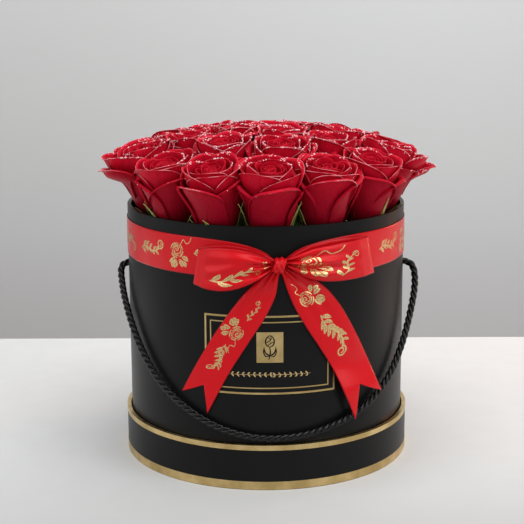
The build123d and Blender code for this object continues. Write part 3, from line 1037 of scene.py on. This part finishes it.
def rose_sprig(parts, lift, centre, size, heading):
    """A rose drawn in foil lines over a fan of filled leaves, of our own drawing."""
    flat = placer(centre, heading, size)
    spiral = [(0.030 * k * math.cos(0.8 * k), 0.024 * k * math.sin(0.8 * k) + 0.1) for k in range(14)]
    lay_stroke(parts, lift, flat(spiral), 0.10 * size, 0.8)
    petals = ((0.50, 15, 150, 0.13), (0.52, 165, 285, 0.12), (0.50, 300, 372, 0.10),
              (0.70, 60, 165, 0.12), (0.72, 195, 265, 0.14), (0.72, 280, 345, 0.14),
              (0.68, -10, 50, 0.12), (0.36, 190, 330, 0.09))
    for radius, start, end, thick in petals:
        lay_stroke(parts, lift, flat(arc_points(radius, start, end, 0.92)), thick * size, 0.5)
    leaves = ((-0.42, -0.66, 205, 0.80), (-0.30, -0.82, 245, 0.85), (0.10, -0.86, 285, 0.80),
              (0.45, -0.70, 325, 0.80), (-0.80, -0.92, 265, 0.62), (0.42, -1.12, 300, 0.62))
    for x, y, way, length in leaves:
        leaf_stroke(parts, lift, *flat([(x, y)]), way + heading, length * size, 0.46 * size, split=0.12)
    tendril = flat([(0.55, 0.45), (1.0, 0.85), (1.25, 0.45), (1.6, 0.55), (1.9, 0.95)])
    lay_stroke(parts, lift, stroke_points(tendril, 21), 0.075 * size, 0.6)


def vine(parts, lift, centre, length, height, heading, mirror=1):
    """A trailing vine: a waving stem that ends in a curl, with leaves on alternate sides."""
    flat = placer(centre, heading, (1, mirror))
    sway = 0.10 * height
    xs = np.linspace(-length / 2, length * 0.30, 41)
    stem = [(x, sway * math.sin(2 * math.pi * (x / length + 0.5) * 1.3)) for x in xs]
    curl_centre = np.array((length * 0.36, stem[-1][1] + 0.20 * height))
    curl = []
    for k in range(1, 25):
        way = math.radians(-105 + 22 * k)
        reach = 0.22 * height * (1 - 0.030 * k)
        curl.append(tuple(curl_centre + reach * np.array((math.cos(way), math.sin(way)))))
    lay_stroke(parts, lift, flat(stem + curl), 0.075 * height, 0.55)
    spots = max(5, round(length / 2.6))
    for k in range(spots):
        index = round(2 + 37 * k / spots)
        side = 1 if k % 2 else -1
        reach = (0.40 - 0.12 * k / spots) * height
        leaf_stroke(parts, lift, *flat([stem[index]]), heading + mirror * side * 42, reach,
                    0.40 * reach, split=0.08)


def build_print(name, surface, layout):
    """Foil figures on a ribbon: each row is a drawing function and its placing."""
    parts = MeshParts()
    for draw, *placing in layout:
        draw(parts, surface.lifted, *placing)
    return parts.build(name, [gold_print])


# the band's first rose, in millimetres from the knot, and the distance from each to the next
FIRST_PRINT = 558.0
PRINT_PITCH = 88.0


def build_ribbon():
    band = RibbonSurface(2 * math.pi * BAND_RADIUS, band_place, 300, closed=True)
    band_layout = []
    for k in range(6):
        rose_at = FIRST_PRINT - PRINT_PITCH * k
        band_layout.append((rose_sprig, (rose_at, 2.4), 7.4, 12))
        band_layout.append((vine, (rose_at - 25.0, 0.0), 27.0, 15.0, 6))
        band_layout.append((vine, (rose_at + 27.0, 0.5), 26.0, 14.0, -6, -1))
    band_piece = band.build("ribbon_round_box")
    band_print = build_print("band_print", band, band_layout)
    finish_piece(band_piece, "box", "red_ribbon", "ribbon_band")
    finish_piece(band_print, "box", "gold_foil")

    stretches = (
        (loop_surface, "loop", "left", [(vine, (38.0, -4.0), 22.0, 14.0, 165),
                                        (rose_sprig, (15.0, 1.0), 4.8, 165)]),
        (loop_surface, "loop", "right", [(vine, (20.0, -3.5), 20.0, 11.0, 2),
                                         (rose_sprig, (37.5, 3.0), 7.6, 5),
                                         (vine, (52.0, -1.0), 17.0, 10.0, 70, -1)]),
        (tail_surface, "tail", "left", [(rose_sprig, (56.0, 1.0), 7.4, -15),
                                        (vine, (36.0, 3.0), 17.0, 9.0, 175),
                                        (vine, (82.0, 0.0), 30.0, 15.0, 4, -1)]),
        (tail_surface, "tail", "right", [(rose_sprig, (29.0, -2.5), 7.4, 170),
                                         (vine, (62.0, 1.0), 36.0, 18.0, 6, -1)]),
    )
    for make_surface, kind, side, layout in stretches:
        surface = make_surface(side)
        piece = surface.build(f"ribbon_{kind}_{side}")
        mark = build_print(f"{kind}_print_{side}", surface, layout)
        if (kind, side) == ("tail", "right"):
            for item, material_slot in ((piece, "red_ribbon"), (mark, "gold_foil")):
                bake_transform(item)
            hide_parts("bow_tail_right", "bow_tail_right_root")
        else:
            finish_piece(piece, "box", "red_ribbon", f"bow_{kind}_{side}")
            finish_piece(mark, "box", "gold_foil")

    finish_piece(knot_piece(), "box", "red_ribbon", "bow_knot")


def wall_lift(radius):
    """Maps flat millimetres (x round the wall from the front, z) onto the box."""
    return lambda x, z: around(math.degrees(x / radius), radius + PRINT_RISE, z)


def build_label_prints():
    """A small blossom on the gold square, and a garland under it."""
    low, high = corners("label_emblem")
    radius = BOX_RADIUS + 0.2
    centre_x = (math.asin(low.x / radius) + math.asin(high.x / radius)) / 2 * radius
    centre_z = (low.z + high.z) / 2
    lift = wall_lift(radius)
    blossom = MeshParts()

    strokes = [
        (0.9, (-0.2, 0.2), (-2.4, 1.8), (-2.9, 4.6), (-1.2, 7.6), (0.4, 8.4)),
        (0.9, (-0.2, 0.2), (2.0, 1.4), (2.9, 4.2), (1.8, 7.2), (0.4, 8.4)),
        (0.65, (-2.6, 3.4), (-0.8, 4.2), (0.7, 5.8), (0.5, 8.2)),
        (0.65, (2.8, 3.6), (1.2, 3.4), (-0.2, 2.4), (-1.6, 1.2)),
        (0.5, (-1.4, 6.9), (-0.2, 6.4), (0.3, 5.4), (-0.4, 4.6)),
        (0.95, (-0.2, 0.2), (0.3, -2.8), (-0.1, -5.8), (-0.7, -8.4)),
    ]
    for side in (-1, 1):
        strokes += [(0.75, (0.1, -5.6), (side * 1.7, -5.0), (side * 3.6, -2.6), (side * 3.9, 0.4)),
                    (0.75, (0.1, -5.6), (side * 2.6, -6.2), (side * 4.2, -3.6), (side * 3.9, 0.4)),
                    (0.42, (side * 0.8, -4.9), (side * 2.6, -3.8), (side * 3.5, -1.4))]
    for width, *points in strokes:
        placed = [(centre_x + x, centre_z + z) for x, z in points]
        lay_stroke(blossom, lift, stroke_points(placed, 25), width, 0.5)
    finish_piece(blossom.build("emblem_blossom", [black_paper]), "box", "black_paper")

    garland = MeshParts()
    low, high = corners("label_ornament")
    centre_z = (low.z + high.z) / 2
    flat_lift = wall_lift(BOX_RADIUS)
    left, right = (math.asin(x / BOX_RADIUS) * BOX_RADIUS for x in (low.x, high.x))
    steps = 15
    for k in range(steps):
        x = left + (right - left) * (k + 0.5) / steps
        way = 48 if k < steps / 2 else 132
        leaf_stroke(garland, flat_lift, (x, centre_z), way, 2.4, 1.0)
        leaf_stroke(garland, flat_lift, (x, centre_z), -way, 2.4, 1.0)
    spine = [(left + (right - left) * t, centre_z) for t in np.linspace(0, 1, 41)]
    lay_stroke(garland, flat_lift, spine, 0.35, 0.5)
    finish_piece(garland.build("label_garland", [gold_print]), "box", "gold_foil", "label_ornament")


build_ribbon()
build_label_prints()


# ---- floor, backdrop and light ----
# the backdrop's colours, from the table's height up: painted shade, darker towards the bottom
BACKDROP_SHADE_TONES = ((0.655, 0.64, 0.64), (0.71, 0.715, 0.72), (0.735, 0.74, 0.735), (0.745, 0.75, 0.75))


def add_stage():
    """A pale table top with a soft far edge, and well behind it a light grey backdrop, both with
    painted shade.
    """
    edge = 0.2775
    bevel = 0.004
    wide = 3.0
    floor = -0.9
    wall = 1.6
    sweep = 0.4
    turns = np.linspace(0, math.pi / 2, 9)
    profile = [(-3.0, 0.0), (edge - 0.01, 0.0)]
    profile += [(edge + bevel * math.sin(a), bevel * math.cos(a) - bevel) for a in turns]
    side = edge + bevel
    profile += [(side, -0.02), (side, floor + 0.02), (side, floor), (side + 0.02, floor),
                (wall - sweep - 0.02, floor)]
    profile += [(wall - sweep + sweep * math.sin(a), floor + sweep - sweep * math.cos(a))
                for a in turns]
    profile += [(wall, floor + sweep + 0.02), (wall, 2.8)]
    points = [(x, y, z) for y, z in profile for x in (-wide, wide)]
    faces = [(2 * i, 2 * i + 1, 2 * i + 3, 2 * i + 2) for i in range(len(profile) - 1)]
    mesh = bpy.data.meshes.new("studio")
    mesh.from_pydata(points, [], faces)
    mesh.polygons.foreach_set("use_smooth", np.ones(len(mesh.polygons), bool))
    s = Shader("studio_grey")
    parts = s.split(s.place())
    grain = s.noise(s.place(), 40, 2)
    beyond = s.range(parts["Y"], edge + 0.0005, edge + 0.0030)
    # painted shade: the table top darkens towards the front, near the camera
    front_shade = s.range(parts["Y"], -0.30, 0.10)
    table = s.mix(front_shade, (0.465, 0.47, 0.47), (0.80, 0.81, 0.805))
    table = s.mix(s.range(grain, 0.4, 0.6, 0.0, 0.03), table, (0.4, 0.4, 0.4))
    # painted shade: the backdrop darkens towards the bottom
    height = s.range(parts["Z"], -0.40, 0.25)
    grey = s.ramp(height, tuple(zip((0.0, 0.31, 0.62, 1.0), BACKDROP_SHADE_TONES)))
    # painted shade: the backdrop also darkens a little towards the left
    left = s.range(parts["X"], 0.5, -0.5, 0.0, 0.14)
    grey = s.mix(left, grey, (0.08, 0.08, 0.08))
    s.colour(s.mix(beyond, table, grey))
    s.set(Roughness=0.75, Specular_IOR_Level=0.25)
    mesh.materials.append(s.material)
    new_object("studio", mesh)


def add_light(name, place, target, size, power, colour):
    lamp = bpy.data.lights.new(name, "AREA")
    lamp.shape = "RECTANGLE"
    lamp.size, lamp.size_y = size
    lamp.energy = power
    lamp.color = colour
    holder = new_object(name, lamp)
    holder.location = place
    way = Vector(target) - Vector(place)
    holder.rotation_euler = way.to_track_quat("-Z", "Y").to_euler()
    holder.visible_camera = False


def add_lights():
    aim = (0, 0, 0.12)
    add_light("top_soft", (0.2, -0.25, 1.5), aim, (1.5, 1.2), 15, (1.0, 0.995, 0.99))
    add_light("left_fill", (-1.4, -0.8, 0.9), aim, (1.5, 1.7), 11, (0.98, 0.99, 1.0))
    add_light("right_key", (1.2, -0.9, 0.8), aim, (0.9, 1.2), 9.2, (1.0, 0.995, 0.985))
    add_light("warm_edge", (0.75, 0.42, 0.22), aim, (0.07, 0.26), 1.3, (1.0, 0.46, 0.24))
    add_light("wall_wash", (0.0, 1.0, 0.8), (0.0, 1.6, 0.1), (2.2, 0.6), 4.0, (1.0, 1.0, 1.0))
    world = bpy.data.worlds.new("studio_air")
    world.use_nodes = True
    world.node_tree.nodes["Background"].inputs["Color"].default_value = (0.86, 0.87, 0.88, 1)
    world.node_tree.nodes["Background"].inputs["Strength"].default_value = 0.45
    bpy.context.scene.world = world
    bpy.context.scene.view_settings.view_transform = "Standard"


add_stage()
add_lights()

bpy.context.view_layer.update()
